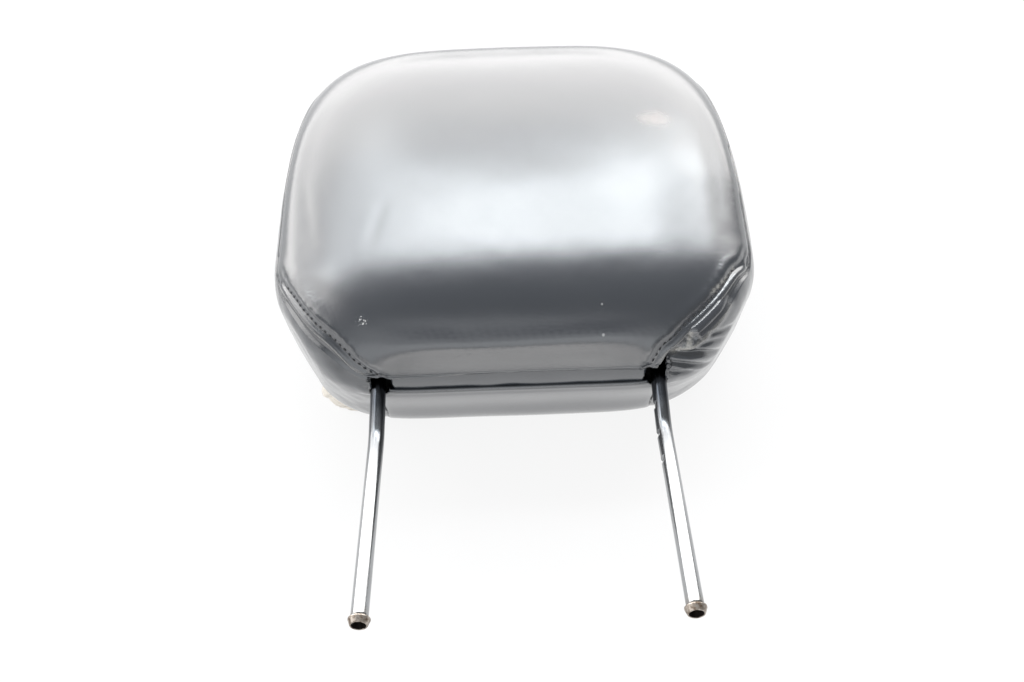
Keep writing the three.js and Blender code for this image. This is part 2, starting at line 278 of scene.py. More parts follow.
def turned_steel_finish():
    material, tree, shader = new_material("collar_steel", (0.42, 0.38, 0.34), 1, 0.38)
    grime = noise(tree, object_place(tree), 420, 4)
    colour = blend_colours(tree, remap(tree, grime, 0.4, 0.65, 0, 1), (0.5, 0.45, 0.4), (0.16, 0.12, 0.09))
    # painted shade: the inner rings of the bore are coloured near black for the dark inside of the hollow
    # spigot
    bore_shade = add_node(tree, "ShaderNodeAttribute", attribute_name="bore_shade").outputs["Fac"]
    colour = blend_colours(tree, bore_shade, colour, (0.012, 0.010, 0.009))
    tree.links.new(colour, shader.inputs["Base Color"])
    tree.links.new(remap(tree, grime, 0.3, 0.7, 0.28, 0.6), shader.inputs["Roughness"])
    turning = noise(tree, object_place(tree, (60, 60, 60)), 30, 2)
    tree.links.new(bump(tree, turning, 0.00008, 0.5), shader.inputs["Normal"])
    return material


def make_collar(name, side, material):
    spigot_radius = tube_bore - spigot_play
    profile = [
        (spigot_radius - spigot_wall, spigot_length),
        (spigot_radius - spigot_wall, -1.2),
        (post_radius - mouth_wall - 0.15, -collar_length + 0.35),
        (post_radius - mouth_wall, -collar_length),
        (post_radius - 0.2, -collar_length),
        (post_radius, -collar_length + 0.2),
        (post_radius + collar_flare - 0.12, -1.15),
        (post_radius + collar_flare, -0.9),
        (post_radius + collar_flare, -0.35),
        (post_radius + collar_flare - 0.3, -0.1),
        (spigot_radius, -0.1),
        (spigot_radius, spigot_length),
    ]
    sides = 64
    angles = np.linspace(0, 2 * math.pi, sides, endpoint=False)
    into_tube = np.array([0, math.cos(leg_bend), -math.sin(leg_bend)])
    across = np.array([1.0, 0, 0])
    up = np.cross(across, into_tube)
    end = np.array([
        side * post_x,
        underside - neck_length - leg_length * math.cos(leg_bend),
        post_height + leg_length * math.sin(leg_bend),
    ])
    points = [
        end + into_tube * height + radius * (across * math.cos(angle) + up * math.sin(angle))
        for radius, height in profile
        for angle in angles
    ]
    faces = grid_faces(len(profile), sides, closed=True)
    last = (len(profile) - 1) * sides
    ring = np.arange(sides)
    after = (ring + 1) % sides
    closing = np.stack([last + ring, last + after, after, ring], axis=1)
    collar = make_piece(name, points, np.concatenate([faces, closing])[:, ::-1], material, smooth=False)
    # painted shade: the first rings of the profile, inside the bore, get the near-black colour
    shaded_rings = 3
    inside = collar.data.attributes.new("bore_shade", "FLOAT", "POINT")
    shares = [1.0] * shaded_rings + [0.0] * (len(profile) - shaded_rings)
    inside.data.foreach_set("value", np.repeat(shares, sides))
    return collar


turned_steel = turned_steel_finish()
collar_sides = (("left_collar", "left_post_collar", -1), ("right_collar", "right_post_collar", 1))
for collar_name, node_name, side in collar_sides:
    collar = make_collar(collar_name, side, turned_steel)
    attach(collar, "root")
    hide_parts(node_name)


# The support plate: a stamped steel sheet, welded under the crossbar inside the foam. It keeps the shape of
# its solid, because nothing of it shows.
plate_steel, plate_tree, plate_shader = new_material("plate_steel", (0.32, 0.33, 0.34), 1, 0.45)
rolled = noise(plate_tree, object_place(plate_tree, (40, 600, 40)), 1.0, 3)
plate_tree.links.new(remap(plate_tree, rolled, 0.3, 0.7, 0.35, 0.6), plate_shader.inputs["Roughness"])
plate_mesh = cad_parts["support_plate"].data
plate_mesh.materials.clear()
plate_mesh.materials.append(plate_steel)


# The foam core: one block of moulded foam that fills the cover, cast round the post frame's crossbar. Only
# its edge shows, in the slits beside the posts, where it draws back from them, and its near-black colour
# paints their shade.
cushion_half_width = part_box("right_gusset")[1].x / MM
top_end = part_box("front_panel")[1].y / MM
face_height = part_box("front_panel")[1].z / MM
back_reach = 61
back_press = 1.5
widest_level = back_reach - back_press
lower_taper = 0.36
side_power, underside_power, top_end_power, flat_power = 3.25, 11, 4.5, 5
low_face_power, high_face_power = 2.75, 3.05
low_back_power, high_back_power = 4.6, 4.0
leather_thickness = 2.0
foam_gap = 4
foam_recess = 16
recess_radius = 13
underside_sag = 3.2
sag_level, sag_spread = 38, 22
corner_sag = 3.5
slack_corner = (116, -72, 28)
corner_spread = 34


def on_cushion(directions, inset=0.0):
    """The point of the cushion's rounded form that each direction from its middle meets.

    The powers say how square the form is in each region: 2 is an ellipse, and more is squarer.
    """
    across, along_y, up = np.abs(directions[:, 0]), directions[:, 1], directions[:, 2]
    low, behind = along_y < 0, up < 0
    at_back = np.where(low, low_back_power, high_back_power)
    squareness = np.where(behind, at_back, np.where(low, low_face_power, high_face_power))
    profile = (np.abs(along_y) ** squareness + np.abs(up) ** squareness) ** (1 / squareness)
    total = across ** 2 + along_y ** 2 + up ** 2
    at_end = np.where(low, underside_power, top_end_power)
    corner = side_power + (at_end - side_power) * along_y ** 2 / total
    corner += np.where(behind, (flat_power - side_power) * up ** 2 / total, 0)
    lowness = np.where(low, along_y ** 2 / (across ** 2 + along_y ** 2 + 1e-12), 0)
    gauge = ((across / (1 - lower_taper * lowness)) ** corner + profile ** corner) ** (1 / corner)
    reach_y = np.where(low, -underside, top_end) - inset
    reach_z = np.where(behind, back_reach, face_height - widest_level) - inset
    x = directions[:, 0] / gauge * (cushion_half_width - inset)
    z = widest_level + up / gauge * reach_z
    return np.stack([x, along_y / gauge * reach_y, np.maximum(z, inset)], axis=1)


def direction_of(points):
    """The direction that meets the cushion's form nearest each point."""
    points = np.asarray(points, float)
    reach_y = np.where(points[:, 1] < 0, -underside, top_end)
    reach_z = np.where(points[:, 2] < widest_level, back_reach, face_height - widest_level)
    up = (points[:, 2] - widest_level) / reach_z
    return np.stack([points[:, 0] / cushion_half_width, points[:, 1] / reach_y, up], axis=1)


def block_directions(columns):
    """Directions to the evenly divided sides of a block, joined at its edges, and the quads between them."""
    spread = np.linspace(-1, 1, columns)
    a, b = (grid.ravel() for grid in np.meshgrid(spread, spread, indexing="ij"))
    one = np.ones_like(a)
    sides = [(a, b, one), (b, a, -one), (b, one, a), (a, -one, b), (one, a, b), (-one, b, a)]
    every = np.concatenate([np.stack(side, axis=1) for side in sides])
    directions, place = np.unique(np.round(every, 6), axis=0, return_inverse=True)
    quads = grid_faces(columns, columns)
    faces = np.concatenate([quads + k * len(a) for k in range(6)])
    return directions, place.ravel()[faces]


def bell(distance, width):
    return np.exp(-(distance / width) ** 2)


def smooth_step(value, low, high):
    t = np.clip((value - low) / (high - low), 0, 1)
    return t * t * (3 - 2 * t)


def slackened(points):
    """Draws the underside in behind the posts, and the slack lower right corner a little more."""
    low = smooth_step(-points[:, 1], 68, 86)
    sag = underside_sag * bell(points[:, 2] - sag_level, sag_spread) * low * smooth_step(points[:, 2], 0, 12)
    sag += corner_sag * bell(np.linalg.norm(points - slack_corner, axis=1), corner_spread)
    beyond = np.maximum(np.abs(points[:, 0]) - post_x, 0) * np.sign(points[:, 0])
    inward = -np.stack([beyond, points[:, 1], np.zeros(len(points))], axis=1)
    inward /= np.linalg.norm(inward, axis=1)[:, None] + 1e-9
    return points + inward * sag[:, None]


def foam_finish():
    """Moulded foam with open cells, coloured near black as painted shade for the slits where it shows."""
    material, tree, shader = new_material("foam", (0.02, 0.02, 0.02), 0, 0.95)
    cells = noise(tree, object_place(tree), 700, 4)
    colour = blend_colours(tree, cells, (0.012, 0.012, 0.012), (0.03, 0.03, 0.028))
    tree.links.new(colour, shader.inputs["Base Color"])
    tree.links.new(bump(tree, cells, 0.0006), shader.inputs["Normal"])
    shader.inputs["Specular IOR Level"].default_value = 0.1
    return material


foam_directions, foam_faces = block_directions(37)
foam_points = slackened(on_cushion(foam_directions, leather_thickness + foam_gap))
for side in (-1, 1):
    from_post = np.hypot(foam_points[:, 0] - side * post_x, foam_points[:, 2] - post_height - foam_gap)
    at_underside = foam_points[:, 1] < underside + 25
    foam_points[:, 1] += foam_recess * np.exp(-(from_post / recess_radius) ** 4) * at_underside
foam_block = make_piece("foam_block", foam_points, foam_faces, foam_finish())
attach(foam_block, "root")
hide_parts("foam_core")


# The sewn cover: leather panels joined along seams and filled out by the foam between them. A closed skin,
# held at the seams and on the table and blown up as cloth, gives the shape, and the panels are laid on it.
right_lap = [
    (84, -85.5, 84.5), (90, -81, 93), (96, -77, 96), (105, -69, 100),
    (114, -60, 101), (128, -46, 101), (138, -33, 99), (147, -20, 92),
]
left_lap = [
    (-85, -86, 83.5), (-96, -84, 86), (-101, -80, 89), (-107, -75, 93),
    (-115, -68, 96), (-124, -59, 96), (-138, -41, 95), (-149, -20, 89),
]
side_edge = [
    (149.5, 8, 90), (149.5, 45, 90), (145, 85, 90), (136, 115, 86),
    (124, 140, 76), (115, 158, 60), (112, 168, 45), (112, 172, 32),
]
back_edge = [
    (86.4, -90.4, 72), (86.4, -90.2, 45), (87, -89, 24), (93, -83, 12), (106, -70, 8), (119, -57, 9),
    (133, -40, 13), (146, -21, 20), (151, 14, 24), (150, 60, 25), (143, 104, 25), (128, 138, 27),
    (112, 172, 31),
]
cloth_columns = 49
cloth_pressure = 4
cloth_frames = 20
most_swell = 1.0
seam_hold = 4
smoothing_points = 14
smoothing_width = 6.0


def smooth_line(points, step):
    """A smooth line through a few points, with points about step millimetres apart."""
    points = np.array(points, float)
    padded = np.concatenate([[2 * points[0] - points[1]], points, [2 * points[-1] - points[-2]]])
    line = []
    for p0, p1, p2, p3 in zip(padded, padded[1:], padded[2:], padded[3:]):
        t = np.linspace(0, 1, 24, endpoint=False)[:, None]
        line.append(0.5 * (2 * p1 + (p2 - p0) * t + (2 * p0 - 5 * p1 + 4 * p2 - p3) * t ** 2
                           + (3 * p1 - p0 - 3 * p2 + p3) * t ** 3))
    line = np.concatenate([*line, points[-1:]])
    lengths = run_lengths(line)
    return resampled(line, max(2, round(lengths[-1] / step) + 1))


def resampled(line, count):
    lengths = run_lengths(line)
    even = np.linspace(0, lengths[-1], count)
    return np.stack([np.interp(even, lengths, line[:, k]) for k in range(3)], axis=1)


def mirrored(points):
    return np.asarray(points) * (-1, 1, 1)


def distance_to(points, line):
    """Each point's distance to a line of points, and the share of the line at which it is nearest."""
    best = np.full(len(points), np.inf)
    share = np.zeros(len(points))
    for k, (a, b) in enumerate(zip(line[:-1], line[1:])):
        along_line = b - a
        t = np.clip((points - a) @ along_line / (along_line @ along_line), 0, 1)
        d = np.linalg.norm(points - a - t[:, None] * along_line, axis=1)
        nearer = d < best
        best[nearer] = d[nearer]
        share[nearer] = (k + t[nearer]) / (len(line) - 1)
    return best, share


def laid_on_form(points, step):
    return on_cushion(direction_of(smooth_line(points, step)))


right_front = laid_on_form(right_lap + side_edge, 2.0)
left_front = laid_on_form(left_lap + [(-x, y, z) for x, y, z in side_edge], 2.0)
right_back = laid_on_form(back_edge, 2.0)
left_back = mirrored(right_back)


def blown_skin():
    """The points of the cover's skin and how far the cloth simulation moves each of them."""
    directions, faces = block_directions(cloth_columns)
    points = on_cushion(directions)
    seams = np.concatenate([right_front, left_front, right_back, left_back])
    nearest = np.full(len(points), np.inf)
    for seam_point in seams[::2]:
        nearest = np.minimum(nearest, np.linalg.norm(points - seam_point, axis=1))
    held = (nearest < seam_hold) | (points[:, 2] < 1) | (points[:, 1] < underside + 3)
    skin = make_piece("skin", points, faces, leather)
    pins = skin.vertex_groups.new(name="held")
    pins.add(np.flatnonzero(held).tolist(), 1.0, "REPLACE")
    cloth = skin.modifiers.new("cloth", "CLOTH")
    cloth.settings.quality = 5
    cloth.settings.mass = 0.3
    cloth.settings.tension_stiffness = 25
    cloth.settings.compression_stiffness = 25
    cloth.settings.bending_stiffness = 12
    cloth.settings.use_pressure = True
    cloth.settings.uniform_pressure_force = cloth_pressure
    cloth.settings.vertex_group_mass = "held"
    cloth.settings.effector_weights.gravity = 0
    cloth.point_cache.frame_start = 1
    cloth.point_cache.frame_end = cloth_frames
    for moment in range(1, cloth_frames + 1):
        bpy.context.scene.frame_set(moment)
    settled = skin.evaluated_get(bpy.context.evaluated_depsgraph_get()).to_mesh()
    blown = np.array([vertex.co for vertex in settled.vertices]) / MM
    move = blown - points
    size = np.linalg.norm(move, axis=1)[:, None]
    share = most_swell * np.tanh(size / most_swell) / np.maximum(size, 1e-9)
    bpy.data.objects.remove(skin)
    bpy.context.scene.frame_set(1)
    return points, move * share


rubbed_patch = (95.4, 82, 112.6)
scuffed_patch = (-91, -59, 108)
pale_dots = ((51, -55, 112), (51, -72, 104))


def leather_finish():
    """Smooth black leather: fine grain, soft sheen, uneven polish, the marks of use on the face, and painted
    highlights on the folded lap edges.
    """
    material, tree, shader = new_material("leather", (0.05, 0.052, 0.058), 0, 0.36)
    place = object_place(tree)
    cells = {"Vector": place, "Scale": 1100.0}
    pebbles = add_node(tree, "ShaderNodeTexVoronoi", cells, feature="F1").outputs["Distance"]
    pores = noise(tree, place, 1500, 2)
    polish = noise(tree, place, 22, 4)
    wide = noise(tree, place, 7, 3)
    shade = remap(tree, wide, 0.3, 0.7, 0, 1)
    colour = blend_colours(tree, shade, (0.019, 0.024, 0.032), (0.027, 0.032, 0.041))

    def spot(centre, size, ragged, edge):
        """One where a point lies inside an uneven patch of the face, falling to nothing at its edge."""
        middle = [c * MM for c in centre]
        shrink = [1 / (s * MM) for s in size]
        offset = add_node(tree, "ShaderNodeVectorMath", {0: place, 1: middle}, operation="SUBTRACT")
        scaled = add_node(
            tree, "ShaderNodeVectorMath", {0: offset.outputs[0], 1: shrink}, operation="MULTIPLY",
        )
        length = add_node(tree, "ShaderNodeVectorMath", {0: scaled.outputs[0]}, operation="LENGTH")
        torn = maths(tree, "ADD", length.outputs["Value"], ragged)
        return remap(tree, torn, 1.5 - edge, 1.5, 1, 0)

    uneven = noise(tree, place, 160, 3)
    ragged = noise(tree, place, 70, 4, 0.65)
    rubbed = spot(rubbed_patch, (16, 9.5, 20), ragged, 0.8)
    colour = blend_colours(tree, remap(tree, rubbed, 0, 1, 0, 0.19), colour, (0.62, 0.49, 0.40))
    flecks = noise(tree, place, 1100, 1)
    scuffed = spot(scuffed_patch, (5.0, 4.2, 8), uneven, 1.1)
    denser = maths(tree, "MULTIPLY_ADD", scuffed, 0.24, flecks)
    near_scuff = remap(tree, scuffed, 0, 0.3, 0, 1)
    specks = maths(tree, "MULTIPLY", remap(tree, denser, 0.74, 0.78, 0, 1), near_scuff)
    for centre in pale_dots:
        dot = spot(centre, (0.9, 0.9, 3.0), uneven, 0.4)
        specks = maths(tree, "MAXIMUM", specks, remap(tree, dot, 0, 1, 0, 0.3))
    colour = blend_colours(tree, specks, colour, (0.75, 0.75, 0.74))
    # The pale colour from the panels' attribute is real wear at the rubbed and torn places, and a painted
    # highlight along the folded lap edges.
    wear_and_highlight = add_node(tree, "ShaderNodeAttribute", attribute_name="wear_and_highlight").outputs["Fac"]
    broken = maths(tree, "MULTIPLY", wear_and_highlight, remap(tree, flecks, 0.35, 0.6, 0.35, 1.0))
    colour = blend_colours(tree, broken, colour, (0.52, 0.50, 0.45))
    tree.links.new(colour, shader.inputs["Base Color"])
    rough = remap(tree, polish, 0.3, 0.7, 0.215, 0.265)
    tree.links.new(maths(tree, "MULTIPLY_ADD", broken, 0.25, rough), shader.inputs["Roughness"])
    grain = bump(tree, pebbles, 0.00012, 0.4)
    fine = bump(tree, pores, 0.00005, 0.4, grain)
    tree.links.new(fine, shader.inputs["Normal"])
    shader.inputs["Specular IOR Level"].default_value = 1.0
    shader.inputs["Coat Weight"].default_value = 1.0
    shader.inputs["Coat IOR"].default_value = 1.6
    shader.inputs["Coat Roughness"].default_value = 0.25
    return material


leather = leather_finish()
skin_points, skin_moves = blown_skin()
skin_tree = KDTree(len(skin_points))
for k, skin_point in enumerate(skin_points):
    skin_tree.insert(skin_point, k)
skin_tree.balance()


def on_cover(directions):
    """The points of the blown cover that directions from the cushion's middle meet."""
    points = on_cushion(directions)
    blown = points.copy()
    for k, point in enumerate(points):
        near = skin_tree.find_n(point, smoothing_points)
        weights = np.array([math.exp(-(n[2] / smoothing_width) ** 2) for n in near])
        blown[k] += weights @ skin_moves[[n[1] for n in near]] / weights.sum()
    blown[:, 2] = np.maximum(blown[:, 2], 0)
    return blown


# The face panel: one piece of smooth black leather over the whole face and the top end. Its slanting lower
# edges are folded and lap over the side panels, held by a row of stitches; its bottom edge is a folded hem.
face_columns = 211
lap_top = -20
hem_level = 86
hem_edge = 1.1
stitch_inset = 6.0
groove_depth = 1.9
groove_outside, groove_inside = 2.1, 2.8


def spanned(left, middle, right, columns):
    """Directions of a panel's rows: each row runs from its left edge over its middle to its right edge."""
    t = np.linspace(0, 1, columns)[None, :, None]
    left, middle, right = (direction_of(line)[:, None] for line in (left, middle, right))
    control = 2 * middle - (left + right) / 2
    return ((1 - t) ** 2 * left + 2 * t * (1 - t) * control + t ** 2 * right).reshape(-1, 3)


def grid_normals(points, rows, columns):
    """Outward unit normals of a grid of points."""
    grid = points.reshape(rows, columns, 3)
    normal = np.cross(np.gradient(grid, axis=1), np.gradient(grid, axis=0)).reshape(-1, 3)
    normal /= np.linalg.norm(normal, axis=1)[:, None] + 1e-12
    middle = np.array([0, 0, widest_level])
    facing = np.sign(np.einsum("ij,ij->i", normal, points - middle))
    return normal * facing[:, None]


def ripples(points, length, seed):
    """Gentle uneven waves of about the given length, between -1 and 1."""
    random = np.random.default_rng(seed)
    total = np.zeros(len(points))
    for _ in range(9):
        heading = random.normal(size=3)
        heading /= np.linalg.norm(heading)
        wave = length * random.uniform(0.7, 1.5)
        total += np.sin(points @ heading * 2 * math.pi / wave + random.uniform(0, 7))
    return total / 5


def clothe(name, base, normals, lift, rows, columns, wear_and_highlight=None, thickness=leather_thickness):
    """A panel of leather: its grid lifted along the normals, its thickness inwards, and its worn places and
    painted edge highlights.
    """
    points = base + normals * lift[:, None]
    faces = grid_faces(rows, columns)
    first = faces[len(faces) // 2]
    turn = np.cross(points[first[1]] - points[first[0]], points[first[3]] - points[first[0]])
    if turn @ normals[first[0]] < 0:
        faces = faces[:, ::-1]
    panel = make_piece(name, points, faces, leather)
    worn = panel.data.attributes.new("wear_and_highlight", "FLOAT", "POINT")
    worn.data.foreach_set("value", np.zeros(len(points)) if wear_and_highlight is None else np.clip(wear_and_highlight, 0, 1))
    solid = panel.modifiers.new("thickness", "SOLIDIFY")
    solid.thickness = thickness * MM
    solid.offset = -1
    return panel


def graded_rows(front, dense_share, dense_step, coarse_step):
    """Shares along a line, close together over its first part and wider apart after it."""
    length = np.linalg.norm(np.diff(front, axis=0), axis=1).sum()
    dense = np.linspace(0, dense_share, round(length * dense_share / dense_step))
    coarse = np.linspace(dense_share, 1, round(length * (1 - dense_share) / coarse_step))
    return np.concatenate([dense, coarse[1:]])


def at_shares(line, shares):
    lengths = run_lengths(line)
    return np.stack([np.interp(shares * lengths[-1], lengths, line[:, k]) for k in range(3)], axis=1)


kink_share = np.argmin(np.abs(right_front[:, 1] - lap_top)) / (len(right_front) - 1)
face_shares = graded_rows(right_front, kink_share, 0.9, 1.9)
face_right = at_shares(right_front, face_shares)
face_left = at_shares(left_front, face_shares)
lower_middle = smooth_line([
    (0, -86.5, 86), (0, -78, 99), (0, -62, 109.5), (0, -40, 115.5), (0, -16, 117.8),
], 1.0)
upper_middle = smooth_line([
    (0, -16, 117.8), (0, 30, 118), (0, 80, 116.5), (0, 120, 111), (0, 150, 101),
    (0, 168, 84), (0, 176, 62), (0, 177, 45), (0, 176, 32),
], 1.0)
lower_rows = face_shares <= kink_share
face_middle = np.concatenate([
    at_shares(lower_middle, face_shares[lower_rows] / kink_share),
    at_shares(upper_middle, (face_shares[~lower_rows] - kink_share) / (1 - kink_share)),
])
face_rows = len(face_shares)
face_base = on_cover(spanned(face_left, face_middle, face_right, face_columns))
face_normals = grid_normals(face_base, face_rows, face_columns)
lap_right = right_front[right_front[:, 1] < lap_top + 1]
lap_left = laid_on_form([(-89, -89, 81), (-95, -85, 85)] + left_lap[2:], 2.0)
seam_right = right_front[right_front[:, 1] > lap_top - 1]
seam_left = left_front[left_front[:, 1] > lap_top - 1]
face_centre = np.array([0, -20, 118])
face_creases = [
    ([(-79, 25, 116), (-85, 3, 115), (-90, -14, 115)], -0.35, 4.5),
    ([(-138, 67, 100), (-132, 31, 105), (-125, -1, 107), (-118, -24, 109)], -0.2, 4.0),
    ([(-131, 60, 104), (-124, 30, 108), (-116, 0, 110)], 0.15, 6.0),
]
rubbed_line = [(135, -27, 101), (128, -37, 104), (118, -47, 106)]


def inside_of(points, line):
    """Distance to a line, zero for points beyond it as seen from the middle of the face."""
    away, share = distance_to(points, line)
    nearest = at_shares(line, share)
    beyond = np.einsum("ij,ij->i", points - nearest, face_centre - nearest) < 0
    return np.where(beyond, 0, away), share


def face_lift(points):
    """Height of the face panel over the cushion's form: folded edges, the stitched groove and the hem."""
    lift = 0.15 * ripples(points, 60, 3) + 0.025 * ripples(points, 17, 5)
    wear_and_highlight = np.zeros(len(points))
    for lap, seam in ((lap_right, seam_right), (lap_left, seam_left)):
        edge, share = inside_of(points, lap)
        outer, _ = distance_to(points, seam)
        groove = edge - stitch_inset
        fade = smooth_step(outer, 2, 12)
        trough = np.where(groove < 0, bell(groove, groove_outside), bell(groove, groove_inside))
        lift -= groove_depth * trough * fade
        # the fold outside the stitches lies lower, and its edge is rolled, with a pale painted highlight
        # along it where it catches the light
        lift -= 0.7 * smooth_step(stitch_inset - edge, 0, 1.5)
        lift -= 0.7 * smooth_step(0.9 - edge, 0, 0.9)
        wear_and_highlight += 0.35 * bell(edge - 0.4, 0.8) * (edge > 0)
        # inside them the leather swells and puckers
        lift += 0.3 * bell(groove - 5.5, 3.5) * fade
        lift += 0.12 * np.sin(share * 75 + 2 * np.sin(share * 19)) * bell(groove - 3, 3.5)
        # the plain seam higher up has a rolled edge with a crease beside it
        lift -= 0.9 * smooth_step(1.2 - outer, 0, 1.2) + 0.5 * bell(outer - 3.2, 0.9)
        lift += 0.3 * bell(outer - 1.7, 0.9)
    for line, height, width in face_creases:
        away, share = distance_to(points, smooth_line(line, 2))
        lift += height * bell(away, width) * np.sin(math.pi * np.clip(share, 0.02, 0.98)) ** 0.7
    rubbed_edge, share = distance_to(points, smooth_line(rubbed_line, 1.5))
    broken = smooth_step(np.sin(share * 37) + np.sin(share * 91), -0.9, 0.6)
    wear_and_highlight += 0.8 * bell(rubbed_edge, 1.3) * broken
    hem = np.abs(points[:, 2] - hem_level) + 40 * (points[:, 1] > 0)
    lift -= 0.9 * smooth_step(hem_edge - hem, 0, hem_edge)
    return lift, wear_and_highlight


face_heights, face_wear_and_highlight = face_lift(face_base)
face_panel = clothe(
    "face_panel", face_base, face_normals, face_heights, face_rows, face_columns, face_wear_and_highlight,
)
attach(face_panel, "root")
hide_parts("front_panel")


# The back panel: plain leather over the whole back, sewn to the other panels along their outer edges. At the
# bottom it turns up as a hemmed band between the posts, cut out round each of them.
post_clearance = 1.1
side_clearance = 0.3
cut_reach = 16
band_level = 72
back_rows, back_columns = len(right_back), 131
back_middle = resampled(smooth_line([
    (0, -90.4, 72), (0, -90, 45), (0, -87, 18), (0, -75, 4), (0, -50, 0), (0, 60, 0),
    (0, 130, 2), (0, 164, 9), (0, 174, 20), (0, 176.5, 31),
], 1.0), back_rows)
back_base = on_cover(spanned(left_back, back_middle, right_back, back_columns))
back_normals = grid_normals(back_base, back_rows, back_columns)


def clear_of_post(points, side, inner):
    """Draws a panel's end back to a round cut-out about the post."""
    cut_radius = post_radius + (post_clearance if inner else side_clearance)
    level = np.clip(1 - ((points[:, 2] - post_height) / cut_radius) ** 2, 0, 1)
    cut = cut_radius * np.sqrt(level)
    x = points[:, 0] * side - post_x
    away = np.abs(x)
    near = smooth_step(cut_reach - away, 0, cut_reach) * (points[:, 1] < underside + 10)
    moved = x + (-1 if inner else 1) * cut * near
    points[:, 0] = side * (post_x + moved)
    return points


for side in (-1, 1):
    ends = back_base[:, 0] * side > 0
    back_base[ends] = clear_of_post(back_base[ends], side, inner=True)


def back_lift(points):
    lift = 0.15 * ripples(points, 50, 8)
    for seam_line in (right_back, left_back):
        seam, _ = distance_to(points, seam_line)
        # the seam is sunk, and flatter on the underside
        lift -= 1.8 * bell(seam, 1.5) * (1 - 0.8 * smooth_step(-points[:, 1], 80, 88))
    band = points[:, 1] < underside + 12
    hem = np.where(band, np.abs(points[:, 2] - band_level), 40)
    lift -= 0.9 * smooth_step(1.0 - hem, 0, 1.0) + 0.5 * bell(hem - 5, 0.9)
    return np.where(points[:, 2] < 1, 0, lift)


back_heights = back_lift(back_base)
back_cover = clothe(
    "back_cover", slackened(back_base), back_normals, back_heights, back_rows, back_columns,
)
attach(back_cover, "root")
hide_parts("back_panel")


# The two side panels: leather round the sides and the lower corners, each ending beside its post and tucked
# under the face panel's edge. The right one is slack and lies in folds that fan out from the post.
gusset_columns = 101
tucked_columns = 6
tucked_share = 0.035
tucked_depth = 2.6
slit = 0.4
rear_start = 0.12
left_folds = [
    ([(-128, -64, 82), (-118, -73, 86), (-101, -82, 87)], -0.4, 4.5),
    ([(-122, -71, 70), (-108, -81, 74), (-97, -86, 76)], 0.45, 6.0),
    ([(-140, -45, 80), (-130, -58, 74), (-118, -72, 66)], -0.4, 5.0),
]
right_folds = [
    ([(104, -72, 97), (109, -68, 99), (122, -56, 100), (131, -45, 100)], 3.6, 5.4),
    ([(106, -75, 94), (119, -63, 97), (131, -51, 97)], -1.2, 1.8),
    ([(103, -79, 92), (107, -75, 93), (121, -63, 96), (133, -47, 97)], 1.0, 2.0),
    ([(114, -70, 95), (122, -66, 91), (131, -60, 85), (137, -54, 80)], -1.4, 1.9),
    ([(107, -77, 92), (118, -71, 89), (129, -65, 80)], -1.1, 1.7),
    ([(92, -81, 93), (103, -80, 90), (111, -78, 87), (118, -75, 81), (128, -68, 70)], -2.8, 2.2),
    ([(88, -83, 91), (98, -82, 89), (109, -80, 85), (123, -72, 75)], 0.9, 2.4),
    ([(88, -84, 88), (98, -84, 85), (114, -81, 75), (122, -76, 67)], -2.1, 2.0),
    ([(97, -85, 82), (111, -82, 75), (120, -77, 66)], 0.8, 2.4),
    ([(90, -87, 81), (100, -86, 77), (109, -84, 74)], -1.6, 2.2),
]
worn_fold = [(103, -79, 92), (107, -75, 93), (121, -63, 96), (131, -51, 97)]
torn_edge = [(104, -71, 99), (104, -75, 96), (102, -78, 93), (98, -79, 93), (94, -80, 93)]


def side_panel(side, front, rear, folds):
    """A side panel's grid with its normals, its folds as heights over it, and its number of rows."""
    shares = graded_rows(front, kink_share, 0.8, 2.2)
    lap = at_shares(front, shares)
    spine = at_shares(face_middle, shares)
    under = (1 - tucked_share) * direction_of(lap) + tucked_share * direction_of(spine)
    # its back seam begins below the hole for the post
    rear = rear[round(rear_start * len(rear)):]
    rear_edge = at_shares(rear, shares)
    centre_line = on_cushion((direction_of(lap) + direction_of(rear_edge)) / 2)
    base = on_cover(spanned(on_cushion(under), centre_line, rear_edge, gusset_columns))
    rows = len(shares)
    normals = grid_normals(base, rows, gusset_columns)
    base[:, 0] = side * np.maximum(base[:, 0] * side, post_x + slit)
    base = clear_of_post(base, side, inner=False)
    opening = (post_radius + side_clearance) * smooth_step(base[:, 2], post_height, post_height + 3)
    base[:, 0] = side * np.maximum(base[:, 0] * side, post_x + slit + opening)
    away, _ = distance_to(base, front)
    lift = -1.2 * smooth_step(14 - away, 0, 14) - 1.4 * smooth_step(1.4 - away, 0, 1.4)
    lift.reshape(rows, gusset_columns)[:, :tucked_columns] = -tucked_depth
    seam, _ = distance_to(base, rear)
    lift -= 1.5 * bell(seam, 1.4) * (1 - 0.8 * smooth_step(-base[:, 1], 80, 88))
    lift += 0.3 * ripples(base, 34, 11 + side) + 0.1 * ripples(base, 12, 17 + side)
    for line, height, width in folds:
        fold, share = distance_to(base, laid_on_form(line, 1.5))
        fading = smooth_step(share, -0.05, 0.15) * smooth_step(1.05 - share, 0, 0.45)
        lift += height * bell(fold, width) * fading
    return base, normals, lift, rows


